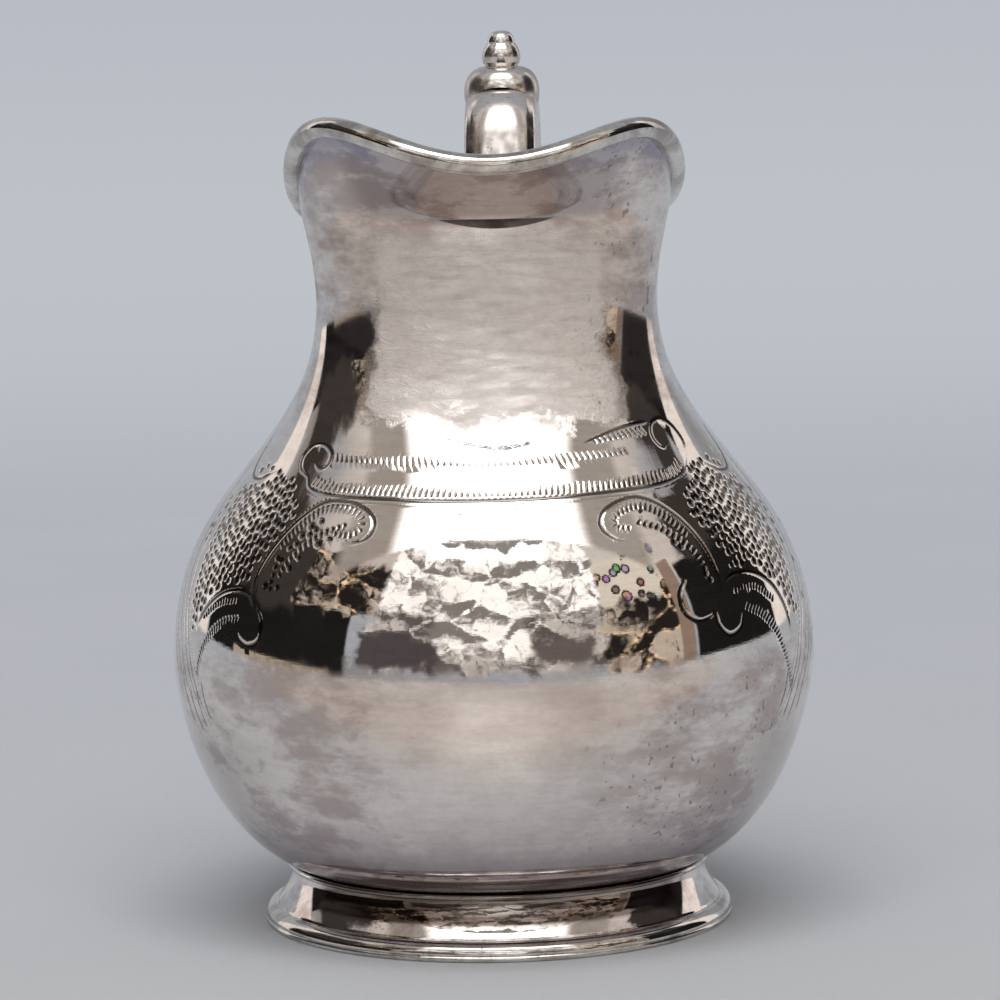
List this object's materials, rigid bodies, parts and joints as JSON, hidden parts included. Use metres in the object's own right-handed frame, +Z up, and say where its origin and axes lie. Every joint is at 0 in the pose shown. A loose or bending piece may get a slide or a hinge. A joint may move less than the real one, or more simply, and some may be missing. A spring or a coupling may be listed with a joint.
{
  "type": "cream jug",
  "caption": "Pear-shaped footed cream jug with a wide flared lip, wire-edged rim, engraved body and a high scroll handle with a bud.",
  "frame": {"origin": "centre of the foot's flat base ring, on the surface the jug stands on", "axes": "+Z up the jug's axis; -Y towards the lip, +Y towards the handle, +X to the jug's right side as seen by someone facing the lip"},
  "size_m": [0.0898, 0.1217, 0.1233],
  "materials": {
    "body_plate": "hand-polished silver plate with a mauve-grey tarnish haze and bright-cut engraving",
    "foot_plate": "polished silver plate, lightly tarnished, with spinning lines",
    "wire_plate": "bright silver plate worn by handling",
    "handle_plate": "polished cast silver plate, warmer tarnish in its hollows",
    "bud_plate": "bright silver plate with dark tarnish in its grooves"
  },
  "bodies": {
    "root": {"body": "body_plate", "rim_wire": "wire_plate", "foot": "foot_plate", "foot_wire": "wire_plate", "seam_ring": "wire_plate", "handle_left_half": "handle_plate", "handle_right_half": "handle_plate", "handle_upper_mount": "handle_plate", "handle_lower_mount": "handle_plate", "tail_scroll": "handle_plate", "bud_cap": "bud_plate", "bud_finial": "bud_plate"}
  },
  "joints": []
}
